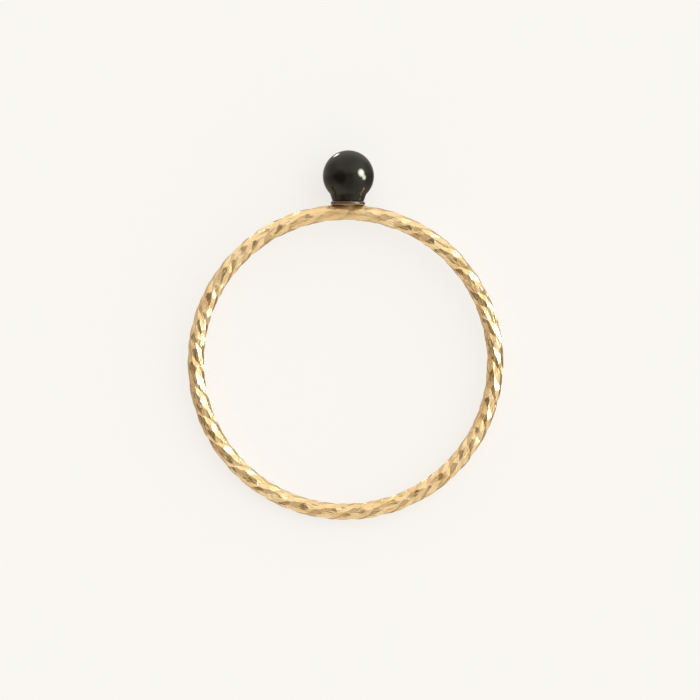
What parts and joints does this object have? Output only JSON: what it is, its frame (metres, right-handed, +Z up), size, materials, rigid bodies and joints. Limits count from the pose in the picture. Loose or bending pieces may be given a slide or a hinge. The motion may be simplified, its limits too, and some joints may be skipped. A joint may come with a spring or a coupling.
{
  "type": "finger ring with a ball",
  "caption": "Thin gold finger ring of diamond-cut wire with a small black stone ball on a short collar, lying on its side.",
  "frame": {"origin": "on the floor, under the centre of the ring's box", "axes": "+Z up and close to the axis of the hoop, +Y from the hoop towards the ball, +X across the hoop"},
  "size_m": [0.0184, 0.0216, 0.003],
  "materials": {
    "gold": "bright cut yellow gold",
    "agate": "polished black agate"
  },
  "bodies": {
    "root": {"band": "gold", "bead": "agate"}
  },
  "joints": []
}
